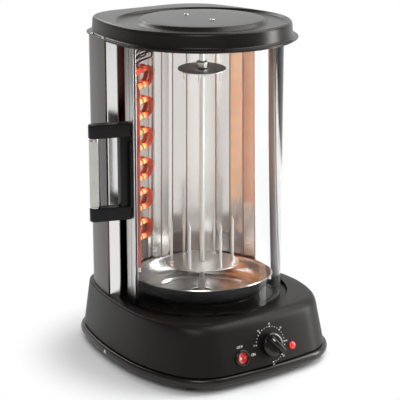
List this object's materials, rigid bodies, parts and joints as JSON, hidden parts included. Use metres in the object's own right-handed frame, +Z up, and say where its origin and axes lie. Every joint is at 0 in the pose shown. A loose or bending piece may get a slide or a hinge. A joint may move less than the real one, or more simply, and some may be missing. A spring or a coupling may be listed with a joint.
{
  "type": "electric skewer grill",
  "caption": "Upright electric grill with a turning vertical spit, side heater, curved sliding glass door with a handle, lift-out drip bowl, timer knob and rocker switch.",
  "frame": {"origin": "on the surface the feet stand on, under the spit axis", "axes": "+Z up along the spit axis, -Y towards the control panel, +X to the right as seen from the front"},
  "size_m": [0.3012, 0.3286, 0.4546],
  "materials": {
    "black_moulding": "fine satin texture",
    "black_paint": "satin black enamel",
    "rubber_black": "matte",
    "screw_steel": "plated",
    "motor_zinc": "plated can",
    "bronze": "oiled",
    "timer_case": "moulded",
    "gloss_black": "polished",
    "lamp_red": "clear red",
    "brushed_steel": "vertical brushing",
    "bright_steel": "bright",
    "reflector_sheet": "polished sheet",
    "hot_tube": "red-hot metal sheath",
    "ceramic_white": null,
    "clip_steel": "heat tinted",
    "dark_wire": "oxidised",
    "clear_glass": "clear",
    "nut_aluminium": "knurled",
    "bowl_metal": "black enamel outside, polished inside",
    "shoe_black": "satin",
    "chrome": "polished",
    "rocker_red": "polished"
  },
  "bodies": {
    "grill": {"base_shell": "black_moulding", "base_plate": "black_moulding", "rubber_feet": "rubber_black", "base_screws": "screw_steel", "cord_gland": "rubber_black", "drive_motor": "motor_zinc", "motor_bracket": "screw_steel", "motor_screws": "screw_steel", "shaft_bush": "bronze", "timer_unit": "timer_case", "switch_body": "gloss_black", "indicator_lamp": "lamp_red", "rear_housing": "brushed_steel", "left_pillar": "bright_steel", "right_pillar": "bright_steel", "reflector": "reflector_sheet", "wire_channel": "reflector_sheet", "heater": "hot_tube", "heater_leads": "ceramic_white", "heater_clips": "clip_steel", "upper_wire": "dark_wire", "side_glass": "clear_glass", "side_glass_seals": "rubber_black", "top_frame": "black_paint", "top_bush": "bronze", "lid": "black_paint", "lid_screws": "screw_steel", "rim_tabs": "screw_steel", "rim_screws": "screw_steel"},
    "spit": {"motor_shaft": "bright_steel", "drive_hub": "bright_steel", "spit_rod": "bright_steel", "prong_plate": "bright_steel", "clamp_plate": "bright_steel", "thumb_nut": "nut_aluminium"},
    "bowl": {"drip_bowl": "bowl_metal"},
    "door": {"door_glass": "clear_glass", "door_edge_left": "brushed_steel", "door_edge_right": "brushed_steel", "door_shoes": "shoe_black", "handle_bracket": "shoe_black", "grip_tube": "chrome", "handle_screws": "screw_steel"},
    "timer": {"timer_knob": "shoe_black", "timer_spindle": "screw_steel"},
    "switch": {"switch_rocker": "rocker_red"}
  },
  "joints": [
    {"name": "spit_spin", "type": "hinge", "parent": "grill", "child": "spit", "pos_m": [0, 0, 0.079], "axis": [0, 0, 1], "continuous": true},
    {"name": "door_slide", "type": "hinge", "parent": "grill", "child": "door", "pos_m": [0, 0, 0.25], "axis": [0, 0, 1], "range_deg": [0, 155]},
    {"name": "bowl_lift", "type": "slide", "parent": "grill", "child": "bowl", "axis": [0, 0, 1], "range_m": [0, 0.008]},
    {"name": "timer_turn", "type": "hinge", "parent": "grill", "child": "timer", "pos_m": [0.004, -0.14393, 0.0465], "axis": [-0.0058, 0.9633, -0.2683], "range_deg": [0, 300]},
    {"name": "switch_rock", "type": "hinge", "parent": "grill", "child": "switch", "pos_m": [-0.04289, -0.14306, 0.03802], "axis": [0.0175, 0.2677, 0.9633], "range_deg": [-16, 0]}
  ]
}
